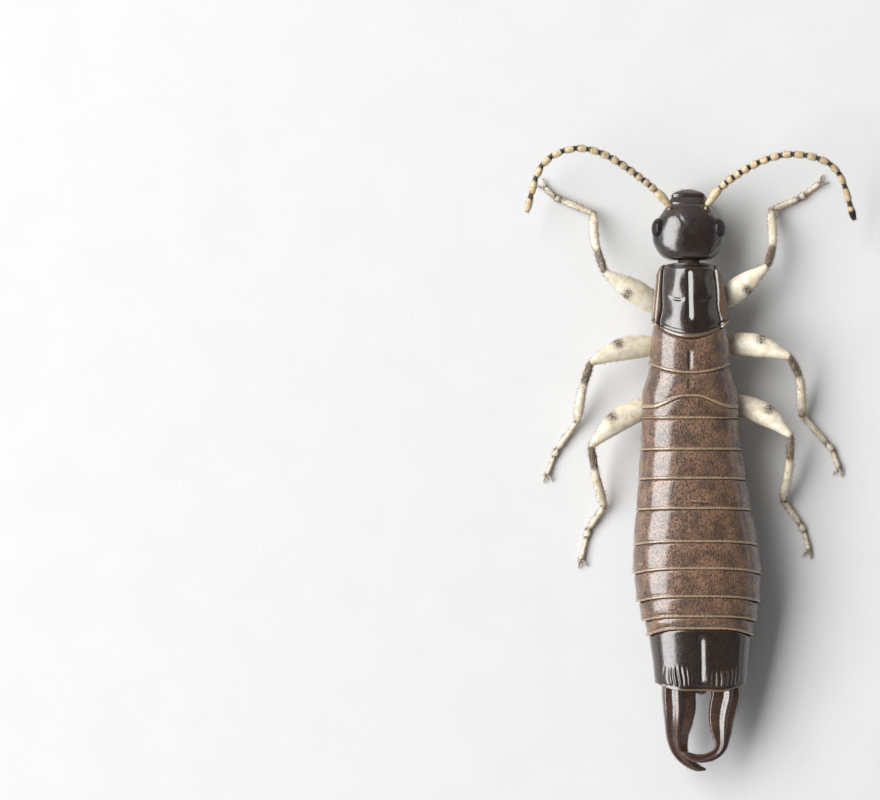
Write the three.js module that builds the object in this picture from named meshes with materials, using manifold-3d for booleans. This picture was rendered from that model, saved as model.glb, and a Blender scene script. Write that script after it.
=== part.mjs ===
// A male wingless seashore earwig, standing at rest, as a life-size museum model.
// Millimetres, +Z up, head towards +Y. The origin is on the floor, under the middle of the model.
import * as THREE from "three";
import { mergeVertices } from "three/addons/utils/BufferGeometryUtils.js";
import Module from "manifold-3d";

const wasm = await Module();
wasm.setup();

// Gap kept between neighbouring pieces, and the least radius of a thin limb.
const GAP = 0.2;
const THIN = 0.25;

// Corners round the sections: body rings, limbs and fine pieces.
const BODY_SIDES = 24;
const LIMB_SIDES = 10;
const FINE_SIDES = 8;

// The body's midline bends a little to the right behind the thorax, and the head leans left.
const TAIL_BEND = 0.57;
const TAIL_BEND_FROM = 4;
const TAIL_BEND_LENGTH = 16;
const HEAD_LEAN = -0.08;
const HEAD_LEAN_FROM = 6;
const HEAD_LEAN_LENGTH = 6;

// How full the body's sections are: 1 is an ellipse, and less is squarer.
const FULLNESS = 0.82;
// How far the joint faces between body rings dome forward, and how far a ring's front edge is sunk.
const DOME = 0.38;
const STEP = 0.11;

// Body joints from front to back: y at the middle, how much further forward the sides lie, half-width,
// top and underside. Each ring runs from one joint to the next.
const JOINTS = [
  { y: 10.08, arc: -0.3, half: 1.62, top: 3.05, under: 1.2 },
  { y: 6.31, arc: 0.7, half: 1.98, top: 3.62, under: 0.98 },
  { y: 4.51, arc: 0.45, half: 2.16, top: 3.72, under: 0.95 },
  { y: 3.32, arc: -0.6, half: 2.48, top: 3.82, under: 0.92 },
  { y: 2.19, arc: 0, half: 2.51, top: 3.9, under: 0.9 },
  { y: 0.59, arc: -0.05, half: 2.63, top: 4.0, under: 0.86 },
  { y: -0.9, arc: -0.08, half: 2.78, top: 4.08, under: 0.82 },
  { y: -2.45, arc: -0.1, half: 2.97, top: 4.14, under: 0.78 },
  { y: -4.15, arc: -0.2, half: 3.2, top: 4.18, under: 0.74 },
  { y: -5.54, arc: -0.3, half: 3.26, top: 4.16, under: 0.74 },
  { y: -6.98, arc: -0.3, half: 3.12, top: 4.08, under: 0.78 },
  { y: -8.01, arc: -0.26, half: 2.94, top: 3.96, under: 0.84 },
  { y: -8.63, arc: -0.4, half: 2.72, top: 3.84, under: 0.9 },
  { y: -11.8, arc: 0.4, half: 2.22, top: 3.36, under: 1.12 },
];
// Height of the body's side line, where back plates and belly plates meet, at its front and back ends.
const SIDE_LINE_FRONT = 2.15;
const SIDE_LINE_BACK = 2.1;
// How much the side outline of a ring bulges between its joints.
const RING_BULGE = 0.04;
const RINGS = [
  { name: "prothorax", groove: 0.1, tone: "shield" },
  { name: "mesothorax", groove: 0.05, tone: "back" },
  { name: "metathorax", groove: 0.03, tone: "back" },
  ...Array.from({ length: 9 }, (_, i) => ({
    name: `abdomen_0${i + 1}`,
    groove: 0,
    tone: "back",
  })),
  { name: "abdomen_10", groove: 0.12, tone: "shield" },
];

// The upper lip and the head from front to back: y, half-width, top and underside.
const LIP = [
  { y: 13.97, half: 0.18, top: 1.95, under: 1.8 },
  { y: 13.92, half: 0.42, top: 2.04, under: 1.72 },
  { y: 13.7, half: 0.84, top: 2.26, under: 1.58 },
  { y: 13.46, half: 0.95, top: 2.38, under: 1.5 },
];
const HEAD = [
  { y: 13.26, half: 1.04, top: 2.54, under: 1.44 },
  { y: 12.9, half: 1.26, top: 2.78, under: 1.28 },
  { y: 12.4, half: 1.58, top: 3.0, under: 1.14 },
  { y: 11.8, half: 1.78, top: 3.16, under: 1.04 },
  { y: 11.3, half: 1.79, top: 3.2, under: 1.02 },
  { y: 10.8, half: 1.62, top: 3.12, under: 1.1 },
  { y: 10.48, half: 1.36, top: 2.96, under: 1.25 },
  { y: 10.32, half: 1.0, top: 2.76, under: 1.45 },
  { y: 10.27, half: 0.6, top: 2.5, under: 1.75 },
];
const HEAD_SIDE_LINE = 2.05;

const EYE = { x: 1.52, y: 11.92, z: 2.3, wide: 0.4, long: 0.44, high: 0.46 };
const NECK = { from: 10.75, to: 9.66, half: 0.56, high: 0.5, z: 2.15 };

// Feelers: a long base piece, a short second piece and the beads, on a curve through a few points.
const FEELERS = {
  left: [
    [-0.95, 13.02, 2.2],
    [-2.06, 14.14, 2.62],
    [-4.3, 15.66, 3.4],
    [-6.08, 16.02, 3.5],
    [-7.66, 15.16, 3.0],
    [-8.39, 12.85, 1.9],
  ],
  right: [
    [0.8, 13.08, 2.2],
    [1.78, 14.24, 2.62],
    [3.6, 15.36, 3.4],
    [5.5, 15.73, 3.5],
    [7.5, 14.96, 3.0],
    [8.47, 12.44, 1.9],
  ],
};
const FEELER_PIECES = 16;
const FEELER_BASE_SHARE = 0.115;
const FEELER_SECOND_SHARE = 0.04;
const FEELER_RADIUS = 0.26;
const FEELER_WAIST = 0.21;
const FEELER_TIP_RADIUS = 0.12;

// Legs: hip under the body, middle of the thigh, knee, ankle, the ends of the three foot pieces, and the
// spread of the claws. The left and right legs stand a little differently.
const LEGS = {
  front_left: {
    hip: [-1.2, 7.72],
    thigh: [-2.55, 8.55],
    knee: [-4.4, 9.71],
    shin: [-4.84, 11.2],
    ankle: [-4.94, 12.78],
    foot: [
      [-6.62, 13.48],
      [-6.9, 13.62],
      [-7.44, 14.12],
    ],
  },
  front_right: {
    hip: [1.14, 7.8],
    thigh: [2.5, 8.85],
    knee: [3.97, 10.0],
    shin: [4.3, 11.2],
    ankle: [4.28, 12.93],
    foot: [
      [5.72, 13.56],
      [6.02, 13.74],
      [6.78, 14.32],
    ],
  },
  mid_left: {
    hip: [-1.3, 5.95],
    thigh: [-3.4, 5.75],
    knee: [-5.12, 5.04],
    shin: [-5.5, 3.7],
    ankle: [-5.77, 2.0],
    foot: [
      [-6.8, 0.56],
      [-6.96, 0.2],
      [-7.34, -0.74],
    ],
  },
  mid_right: {
    hip: [1.4, 6.02],
    thigh: [3.5, 5.92],
    knee: [5.13, 5.36],
    shin: [5.72, 4.1],
    ankle: [5.86, 2.36],
    foot: [
      [7.14, 0.88],
      [7.46, 0.5],
      [7.78, -0.42],
    ],
  },
  hind_left: {
    hip: [-1.6, 3.02],
    thigh: [-3.6, 2.1],
    knee: [-5.1, 0.76],
    shin: [-4.82, -0.8],
    ankle: [-4.37, -2.38],
    foot: [
      [-5.18, -3.56],
      [-5.28, -3.98],
      [-5.58, -5.16],
    ],
  },
  hind_right: {
    hip: [1.76, 3.12],
    thigh: [3.8, 2.4],
    knee: [5.2, 1.28],
    shin: [5.14, -0.4],
    ankle: [4.88, -2.08],
    foot: [
      [5.76, -3.28],
      [5.98, -3.68],
      [6.22, -4.66],
    ],
  },
};
const HIP_Z = 1.2;
// The hip joint under the body, from near the midline out to the thigh.
const COXA = { inner: 0.5, z: 0.98, outer: 1.12, radius: 0.42, tip: 0.34 };
const THIGH_Z = 1.85;
const KNEE_Z = 2.35;
const SHIN_Z = 1.5;
const ANKLE_Z = 0.5;
const FOOT_Z = 0.2;
// Half-widths seen from above and half-heights along the thigh, and the radii of the thin pieces.
const THIGH_WIDTHS = [0.34, 0.52, 0.6, 0.6, 0.5, 0.3];
const THIGH_HEIGHTS = [0.3, 0.38, 0.42, 0.4, 0.36, 0.27];
const SHIN_RADII = [0.25, THIN, 0.27, 0.27];
const FOOT_RADII = [
  [0.25, THIN, 0.22],
  [0.22, 0.28, 0.22],
  [0.2, THIN, 0.22],
];
const CLAW = { length: 0.42, root: 0.16, tip: 0.05, spread: 38 };

// Pincers: points down the middle of each branch, with half-widths seen from above and half-heights.
const PINCERS = {
  left: [
    { at: [-0.57, -12.1, 2.1], half: 0.88, high: 0.66 },
    { at: [-0.54, -12.7, 2.05], half: 0.86, high: 0.64 },
    { at: [-0.57, -13.4, 1.95], half: 0.76, high: 0.58 },
    { at: [-0.63, -14.14, 1.8], half: 0.61, high: 0.46 },
    { at: [-0.56, -14.75, 1.7], half: 0.49, high: 0.38 },
    { at: [-0.36, -15.22, 1.62], half: 0.37, high: 0.32 },
    { at: [0.0, -15.6, 1.6], half: 0.28, high: 0.28 },
    { at: [0.4, -15.85, 1.6], half: 0.22, high: 0.25 },
    { at: [0.82, -15.95, 1.62], half: 0.1, high: 0.12 },
  ],
  right: [
    { at: [1.83, -12.1, 2.1], half: 0.8, high: 0.66 },
    { at: [1.71, -12.65, 2.05], half: 0.78, high: 0.64 },
    { at: [1.61, -13.36, 2.0], half: 0.7, high: 0.58 },
    { at: [1.62, -14.14, 2.02], half: 0.53, high: 0.46 },
    { at: [1.6, -14.68, 2.12], half: 0.36, high: 0.36 },
    { at: [1.36, -15.08, 2.22], half: 0.27, high: 0.29 },
    { at: [0.9, -15.3, 2.3], half: THIN, high: 0.26 },
    { at: [0.4, -15.33, 2.36], half: THIN, high: THIN },
    { at: [-0.05, -15.2, 2.42], half: 0.22, high: 0.22 },
    { at: [-0.46, -14.98, 2.48], half: 0.1, high: 0.1 },
  ],
};

// Mouthparts under the front of the head.
const MANDIBLE = [
  { at: [0.62, 12.75, 1.15], half: 0.34, high: 0.3 },
  { at: [0.62, 13.25, 1.15], half: 0.32, high: 0.28 },
  { at: [0.42, 13.66, 1.2], half: 0.25, high: 0.25 },
  { at: [0.2, 13.84, 1.24], half: 0.1, high: 0.14 },
];
const PALP = [
  { at: [1.0, 12.3, 1.02], half: 0.22, high: 0.22 },
  { at: [1.28, 12.75, 0.72], half: THIN, high: THIN },
  { at: [1.22, 13.2, 0.56], half: THIN, high: THIN },
  { at: [0.95, 13.55, 0.5], half: 0.27, high: 0.27 },
  { at: [0.72, 13.78, 0.5], half: 0.14, high: 0.14 },
];
const LOWER_LIP = [
  { at: [0, 12.2, 0.84], half: 0.4, high: 0.22 },
  { at: [0, 12.6, 0.8], half: 0.46, high: 0.24 },
  { at: [0, 13.1, 0.78], half: 0.36, high: 0.22 },
  { at: [0, 13.34, 0.8], half: 0.2, high: 0.16 },
];

const MATERIALS = {
  shield: material(0x1d120c, 0.22),
  back: material(0x2b1a11, 0.32),
  eye: material(0x0d0908, 0.15),
  feeler: material(0x8a6a48, 0.45),
  leg: material(0xc9ab7c, 0.42),
  mouth: material(0x4a2614, 0.35),
  neck: material(0x5d4029, 0.6),
  pincer: material(0x2a130b, 0.2),
};

function material(color, roughness) {
  return new THREE.MeshStandardMaterial({ color, roughness, metalness: 0 });
}

function smooth(t) {
  const s = THREE.MathUtils.clamp(t, 0, 1);
  return s * s * (3 - 2 * s);
}

function midline(y) {
  const bend = TAIL_BEND * smooth((TAIL_BEND_FROM - y) / TAIL_BEND_LENGTH);
  return bend + HEAD_LEAN * smooth((y - HEAD_LEAN_FROM) / HEAD_LEAN_LENGTH);
}

// A closed body through rings, laid out on a cylinder: place(ring, angle, share) gives each point, and
// share is 1 on the skin and 0 at the middle of the two end caps.
function loft(rings, sides, place) {
  const geometry = new THREE.CylinderGeometry(1, 1, rings - 1, sides, rings - 1);
  const points = geometry.attributes.position;
  for (let i = 0; i < points.count; i++) {
    const ring = Math.round((rings - 1) / 2 - points.getY(i));
    const share = Math.round(Math.hypot(points.getX(i), points.getZ(i)));
    const angle = Math.atan2(points.getX(i), points.getZ(i));
    points.setXYZ(i, ...place(ring, angle, share));
  }
  return geometry;
}

function solidOf(geometry) {
  const bare = new THREE.BufferGeometry();
  bare.setAttribute("position", geometry.attributes.position);
  bare.setIndex(geometry.index);
  const merged = mergeVertices(bare, 1e-5);
  const mesh = new wasm.Mesh({
    numProp: 3,
    vertProperties: new Float32Array(merged.attributes.position.array),
    triVerts: new Uint32Array(merged.index.array),
  });
  const solid = new wasm.Manifold(mesh);
  return solid.volume() < 0 ? flipped(mesh) : solid;
}

function flipped(mesh) {
  const triVerts = mesh.triVerts.slice();
  for (let i = 0; i < triVerts.length; i += 3) {
    [triVerts[i + 1], triVerts[i + 2]] = [triVerts[i + 2], triVerts[i + 1]];
  }
  return new wasm.Manifold(
    new wasm.Mesh({ numProp: 3, vertProperties: mesh.vertProperties, triVerts }),
  );
}

function geometryOf(solid) {
  const mesh = solid.getMesh();
  const geometry = new THREE.BufferGeometry();
  geometry.setAttribute(
    "position",
    new THREE.BufferAttribute(new Float32Array(mesh.vertProperties), 3),
  );
  geometry.setIndex(new THREE.BufferAttribute(new Uint32Array(mesh.triVerts), 1));
  geometry.computeVertexNormals();
  return geometry;
}

function joined(solids) {
  return solids.reduce((whole, next) => whole.add(next));
}

function largest(solid) {
  const bodies = solid.decompose();
  return bodies.reduce((best, next) => (next.volume() > best.volume() ? next : best));
}

function addPart(group, name, solid, look) {
  const mesh = new THREE.Mesh(geometryOf(solid), MATERIALS[look]);
  mesh.name = name;
  group.add(mesh);
}

// A point of a body section: wide at the side line, higher above it than below it.
function sectionPoint(section, angle, share, grow) {
  const across = Math.cos(angle);
  const up = Math.sin(angle);
  const height = up > 0 ? section.top - section.side : section.side - section.under;
  const x = Math.sign(across) * Math.abs(across) ** FULLNESS * (section.half + grow);
  const z = Math.sign(up) * Math.abs(up) ** FULLNESS * (height + grow);
  return [section.x + x * share, section.side + z * share];
}

// How far forward of its middle a joint lies at an angle round the body.
function jointArc(joint, angle) {
  return joint.arc * (angle > 0 ? Math.abs(Math.cos(angle)) ** 1.6 : 1);
}

// Rings of one body piece: along runs from 0 at its front joint to 1 at its back joint, share is how far
// out the ring is, and sunk how far under the outline.
const RING_PROFILE = [
  { along: 0, share: 0.06, sunk: STEP },
  { along: 0, share: 0.62, sunk: STEP },
  { along: 0, share: 1, sunk: STEP },
  { along: 0.5, share: 1, sunk: STEP * 0.35 },
  { along: 1, share: 1, sunk: 0 },
  { along: 1, share: 0.62, sunk: 0 },
  { along: 1, share: 0.06, sunk: 0 },
];

function bodyRing(front, back, { grow = 0, groove = 0, domed = true }) {
  const rise = (share) => (domed ? DOME * (1 - share ** 2) : 0);
  const place = (index, angle, outer) => {
    const ring = RING_PROFILE[index];
    const share = ring.share * outer;
    const frontY = front.y + jointArc(front, angle) * share - GAP / 2 + grow;
    const backY = back.y + jointArc(back, angle) * share + GAP / 2 - grow;
    const y = THREE.MathUtils.lerp(frontY, backY, ring.along) + rise(share);
    const mix = (key) => THREE.MathUtils.lerp(front[key], back[key], ring.along);
    const section = {
      x: midline(y),
      half: mix("half") + RING_BULGE * Math.sin(Math.PI * ring.along) - ring.sunk,
      top: mix("top") - ring.sunk - (Math.sin(angle) > 0.99 ? groove : 0),
      under: mix("under") + ring.sunk,
      side: THREE.MathUtils.lerp(SIDE_LINE_FRONT, SIDE_LINE_BACK, smooth((10 - y) / 20)),
    };
    const [x, z] = sectionPoint(section, angle, share, grow);
    return [x, y, z];
  };
  return solidOf(loft(RING_PROFILE.length, BODY_SIDES, place));
}

function capsule(rings, grow = 0) {
  return solidOf(
    loft(rings.length, BODY_SIDES, (index, angle, share) => {
      const ring = rings[index];
      const ends = index === 0 ? grow : index === rings.length - 1 ? -grow : 0;
      const y = ring.y + ends;
      const side = THREE.MathUtils.clamp(HEAD_SIDE_LINE, ring.under + THIN / 2, ring.top - THIN / 2);
      const [x, z] = sectionPoint({ ...ring, x: midline(y), side }, angle, share, grow);
      return [x, y, z];
    }),
  );
}

function neckSolid(grow = 0) {
  const ends = [NECK.from + grow, NECK.to - grow];
  return solidOf(
    loft(2, LIMB_SIDES + 2, (index, angle, share) => [
      midline(ends[index]) + Math.cos(angle) * (NECK.half + grow) * share,
      ends[index],
      NECK.z + Math.sin(angle) * (NECK.high + grow) * share,
    ]),
  );
}

function eyeSolid(side, grow = 0) {
  const ball = new THREE.SphereGeometry(1, 12, 8);
  ball.scale(EYE.wide + grow, EYE.long + grow, EYE.high + grow);
  ball.translate(midline(EYE.y) + side * EYE.x, EYE.y, EYE.z);
  return solidOf(ball);
}

// A limb through stations along a curve: each has a half-width in plan and a half-height.
function limb(points, widths, heights, rings, sides) {
  const curve = new THREE.CatmullRomCurve3(points, false, "centripetal");
  const sizeAt = (sizes, t) => {
    const place = t * (sizes.length - 1);
    const index = Math.min(Math.floor(place), sizes.length - 2);
    return THREE.MathUtils.lerp(sizes[index], sizes[index + 1], place - index);
  };
  const up = new THREE.Vector3(0, 0, 1);
  return solidOf(
    loft(rings, sides, (ring, angle, share) => {
      const t = ring / (rings - 1);
      const along = curve.getTangent(t);
      const across = along.clone().cross(up).normalize();
      const rise = across.clone().cross(along);
      const at = curve.getPoint(t);
      at.addScaledVector(across, Math.cos(angle) * sizeAt(widths, t) * share);
      at.addScaledVector(rise, Math.sin(angle) * sizeAt(heights, t) * share);
      return at.toArray();
    }),
  );
}

function limbThrough(stations, side, rings, sides) {
  const points = stations.map(({ at: [x, y, z] }) => new THREE.Vector3(side * x, y, z));
  const widths = stations.map((station) => station.half);
  const heights = stations.map((station) => station.high);
  return limb(points, widths, heights, rings, sides);
}

// The feeler's radius swells in each bead and narrows to a waist at each joint.
function feelerSolid(points) {
  const starts = [0, FEELER_BASE_SHARE, FEELER_BASE_SHARE + FEELER_SECOND_SHARE];
  const beads = FEELER_PIECES - 2;
  for (let i = 1; i <= beads; i++) {
    starts.push(starts[2] + ((1 - starts[2]) * (i * (beads + i))) / (beads * 2 * beads));
  }
  const stops = [];
  for (let i = 0; i < starts.length - 1; i++) {
    const length = starts[i + 1] - starts[i];
    const last = i === starts.length - 2;
    stops.push({ t: starts[i], r: FEELER_WAIST });
    stops.push({ t: starts[i] + length * 0.3, r: FEELER_RADIUS });
    stops.push({ t: starts[i] + length * 0.8, r: last ? FEELER_WAIST : FEELER_RADIUS });
  }
  stops.push({ t: 1, r: FEELER_TIP_RADIUS });
  const curve = new THREE.CatmullRomCurve3(points.map((p) => new THREE.Vector3(...p)));
  const up = new THREE.Vector3(0, 0, 1);
  return solidOf(
    loft(stops.length, FINE_SIDES, (ring, angle, share) => {
      const { t, r } = stops[ring];
      const along = curve.getTangentAt(t);
      const across = along.clone().cross(up).normalize();
      const rise = across.clone().cross(along);
      const at = curve.getPointAt(t);
      at.addScaledVector(across, Math.cos(angle) * r * share);
      at.addScaledVector(rise, Math.sin(angle) * r * share);
      return at.toArray();
    }),
  );
}

function footSolids(leg) {
  const ankle = new THREE.Vector3(...leg.ankle, ANKLE_Z);
  const ends = [ankle, ...leg.foot.map(([x, y]) => new THREE.Vector3(x, y, FOOT_Z))];
  return FOOT_RADII.map((radii, i) => limb([ends[i], ends[i + 1]], radii, radii, 3, FINE_SIDES));
}

function clawSolids(leg) {
  const [before, root] = leg.foot.slice(-2);
  const heading = Math.atan2(root[1] - before[1], root[0] - before[0]);
  return [-1, 1].map((side) => {
    const turn = heading + side * THREE.MathUtils.degToRad(CLAW.spread);
    const step = (length, z) =>
      new THREE.Vector3(
        root[0] + Math.cos(turn) * length,
        root[1] + Math.sin(turn) * length,
        z,
      );
    const points = [step(-0.05, FOOT_Z), step(CLAW.length * 0.55, FOOT_Z), step(CLAW.length, 0.1)];
    const radii = [CLAW.root, CLAW.root * 0.75, CLAW.tip];
    return limb(points, radii, radii, 3, 6);
  });
}

function legSolid(leg) {
  const at = ([x, y], z) => new THREE.Vector3(x, y, z);
  const hip = at(leg.hip, HIP_Z);
  const knee = at(leg.knee, KNEE_Z);
  const thigh = limb([hip, at(leg.thigh, THIGH_Z), knee], THIGH_WIDTHS, THIGH_HEIGHTS, 6, LIMB_SIDES);
  const inner = new THREE.Vector3(leg.hip[0] * COXA.inner, leg.hip[1], COXA.z);
  const outer = new THREE.Vector3(leg.hip[0] * COXA.outer, leg.hip[1], HIP_Z);
  const coxaRadii = [COXA.radius, COXA.radius, COXA.tip];
  const coxa = limb([inner, outer], coxaRadii, coxaRadii, 3, LIMB_SIDES);
  const shinPoints = [knee, at(leg.shin, SHIN_Z), at(leg.ankle, ANKLE_Z)];
  const shin = limb(shinPoints, SHIN_RADII, SHIN_RADII, 5, FINE_SIDES);
  return joined([coxa, thigh, shin, ...footSolids(leg), ...clawSolids(leg)]);
}

// Everything under the floor, so that feet end in flats on it.
function underFloor() {
  const block = new THREE.BoxGeometry(40, 40, 2);
  block.translate(0, 0, -1);
  return solidOf(block);
}

function buildBody() {
  const body = new THREE.Group();
  const neckRoom = neckSolid(GAP);
  RINGS.forEach(({ name, groove, tone }, i) => {
    const ring = bodyRing(JOINTS[i], JOINTS[i + 1], { groove });
    addPart(body, name, i === 0 ? largest(ring.subtract(neckRoom)) : ring, tone);
  });
  return body;
}

function buildHead() {
  const head = new THREE.Group();
  const rooms = [neckSolid(GAP), eyeSolid(-1, GAP), eyeSolid(1, GAP)];
  addPart(head, "head", largest(capsule(HEAD).subtract(joined(rooms))), "shield");
  addPart(head, "upper_lip", capsule(LIP), "mouth");
  addPart(head, "neck", neckSolid(), "neck");
  const around = capsule(HEAD, GAP).add(capsule(LIP, GAP));
  const cut = (solid) => largest(solid.subtract(around));
  for (const [name, side] of [["left", -1], ["right", 1]]) {
    addPart(head, `eye_${name}`, eyeSolid(side), "eye");
    addPart(head, `antenna_${name}`, cut(feelerSolid(FEELERS[name])), "feeler");
    addPart(head, `mandible_${name}`, cut(limbThrough(MANDIBLE, side, 5, FINE_SIDES)), "mouth");
    addPart(head, `palp_${name}`, cut(limbThrough(PALP, side, 6, FINE_SIDES)), "feeler");
  }
  addPart(head, "lower_lip", cut(limbThrough(LOWER_LIP, 1, 5, FINE_SIDES)), "mouth");
  return head;
}

function buildLegs() {
  const legs = new THREE.Group();
  const trunk = joined(
    [0, 1, 2, 3].map((i) => bodyRing(JOINTS[i], JOINTS[i + 1], { grow: GAP })),
  );
  const away = trunk.add(underFloor());
  for (const [name, leg] of Object.entries(LEGS)) {
    addPart(legs, `leg_${name}`, largest(legSolid(leg).subtract(away)), "leg");
  }
  return legs;
}

function buildPincers() {
  const pincers = new THREE.Group();
  const tail = bodyRing(JOINTS.at(-2), JOINTS.at(-1), { grow: GAP });
  for (const [name, stations] of Object.entries(PINCERS)) {
    const pincer = limbThrough(stations, 1, stations.length + 3, LIMB_SIDES);
    addPart(pincers, `pincer_${name}`, largest(pincer.subtract(tail)), "pincer");
  }
  return pincers;
}

const earwig = new THREE.Group();
earwig.add(buildHead(), buildBody(), buildLegs(), buildPincers());

export default earwig;
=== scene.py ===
"""The looks of a male wingless seashore earwig, standing at rest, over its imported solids."""

import math

import bmesh
import bpy
import numpy as np
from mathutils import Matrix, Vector


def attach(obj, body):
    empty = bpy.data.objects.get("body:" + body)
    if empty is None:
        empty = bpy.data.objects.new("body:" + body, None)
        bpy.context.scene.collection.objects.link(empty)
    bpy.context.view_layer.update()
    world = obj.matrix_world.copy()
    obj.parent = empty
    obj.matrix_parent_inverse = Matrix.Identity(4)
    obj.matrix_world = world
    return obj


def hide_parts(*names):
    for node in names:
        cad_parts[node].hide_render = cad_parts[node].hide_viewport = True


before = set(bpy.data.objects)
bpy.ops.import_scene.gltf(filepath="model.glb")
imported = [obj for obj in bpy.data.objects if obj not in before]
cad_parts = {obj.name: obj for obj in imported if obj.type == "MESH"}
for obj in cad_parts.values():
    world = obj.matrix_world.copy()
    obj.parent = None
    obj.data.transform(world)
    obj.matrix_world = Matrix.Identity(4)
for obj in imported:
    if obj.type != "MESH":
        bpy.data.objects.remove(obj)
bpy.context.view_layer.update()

# Sizes are in millimetres, in the solids' frame, and turn to metres where a mesh is made.
MM = 0.001
TINY = 1e-9
rng = np.random.default_rng(11)

# Body joints from front to back: y at the middle, how much further forward the sides lie, half-width,
# top and underside.
JOINTS = np.array([
    (10.08, -0.30, 1.62, 3.05, 1.20),
    (6.31, 0.70, 1.98, 3.62, 0.98),
    (4.51, 0.45, 2.16, 3.72, 0.95),
    (3.32, -0.60, 2.48, 3.82, 0.92),
    (2.19, 0.00, 2.51, 3.90, 0.90),
    (0.59, -0.05, 2.63, 4.00, 0.86),
    (-0.90, -0.08, 2.78, 4.08, 0.82),
    (-2.45, -0.10, 2.97, 4.14, 0.78),
    (-4.15, -0.20, 3.20, 4.18, 0.74),
    (-5.54, -0.30, 3.26, 4.16, 0.74),
    (-6.98, -0.30, 3.12, 4.08, 0.78),
    (-8.01, -0.26, 2.94, 3.96, 0.84),
    (-8.63, -0.40, 2.72, 3.84, 0.90),
    (-11.80, 0.40, 2.24, 3.36, 1.12),
])
# Height of the widest line along the sides in front and behind, and the y and run of its change.
SIDE_LINE = (2.15, 2.10)
SIDE_LINE_START, SIDE_LINE_RUN = 10, 20
FULLNESS = 0.82
PLATE = 0.07
SIDES = {"left": -1, "right": 1}
BACKS = ["mesothorax", "metathorax", *(f"abdomen_0{i}" for i in range(1, 10)), "abdomen_10"]

# The head from front to back: y, half-width, top and underside.
HEAD = np.array([
    (13.60, 0.84, 2.26, 1.52),
    (13.50, 0.90, 2.34, 1.49),
    (13.26, 1.04, 2.54, 1.44),
    (12.90, 1.26, 2.78, 1.28),
    (12.40, 1.58, 3.00, 1.14),
    (11.80, 1.78, 3.16, 1.04),
    (11.30, 1.79, 3.20, 1.02),
    (10.80, 1.62, 3.12, 1.10),
    (10.48, 1.36, 2.96, 1.25),
    (10.32, 1.00, 2.76, 1.45),
    (10.27, 0.60, 2.50, 1.75),
])
LIP = np.array([
    (13.97, 0.18, 1.95, 1.80),
    (13.92, 0.42, 2.04, 1.72),
    (13.70, 0.84, 2.26, 1.58),
    (13.50, 0.88, 2.28, 1.52),
    (13.40, 0.86, 2.26, 1.54),
])
HEAD_SIDE_LINE = 2.05
EYE = {"x": 1.53, "y": 11.92, "z": 2.32, "wide": 0.38, "long": 0.56, "high": 0.50}

FEELERS = {
    "left": [(-0.95, 13.02, 2.2), (-2.06, 14.14, 2.62), (-4.3, 15.66, 3.4), (-6.08, 16.02, 3.5),
             (-7.66, 15.16, 3.0), (-8.39, 12.85, 1.9)],
    "right": [(0.8, 13.08, 2.2), (1.78, 14.24, 2.62), (3.6, 15.36, 3.4), (5.5, 15.73, 3.5),
              (7.5, 14.96, 3.0), (8.47, 12.44, 1.9)],
}
FEELER_PIECES = 16
FEELER_BASE_SHARE, FEELER_SECOND_SHARE = 0.115, 0.04
FEELER_RADIUS = 0.205

# Legs: hip, middle of the thigh, knee, middle of the shin, ankle, and the ends of the three foot pieces.
LEGS = {
    "front_left": [(-1.2, 7.72), (-2.55, 8.55), (-4.4, 9.71), (-4.84, 11.2), (-4.94, 12.78),
                   (-6.62, 13.48), (-6.9, 13.62), (-7.44, 14.12)],
    "front_right": [(1.14, 7.8), (2.5, 8.85), (3.97, 10.0), (4.3, 11.2), (4.28, 12.93),
                    (5.72, 13.56), (6.02, 13.74), (6.78, 14.32)],
    "mid_left": [(-1.3, 5.95), (-3.4, 5.75), (-5.12, 5.04), (-5.5, 3.7), (-5.77, 2.0),
                 (-6.8, 0.56), (-6.96, 0.2), (-7.34, -0.74)],
    "mid_right": [(1.4, 6.02), (3.5, 5.92), (5.13, 5.36), (5.72, 4.1), (5.86, 2.36),
                  (7.14, 0.88), (7.46, 0.5), (7.78, -0.42)],
    "hind_left": [(-1.6, 3.02), (-3.6, 2.1), (-5.1, 0.76), (-4.82, -0.8), (-4.37, -2.38),
                  (-5.18, -3.56), (-5.28, -3.98), (-5.58, -5.16)],
    "hind_right": [(1.76, 3.12), (3.8, 2.4), (5.2, 1.28), (5.14, -0.4), (4.88, -2.08),
                   (5.76, -3.28), (5.98, -3.68), (6.22, -4.66)],
}
LEG_HEIGHTS = [1.2, 1.85, 2.35, 1.5, 0.42, 0.17, 0.17, 0.17]

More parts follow.
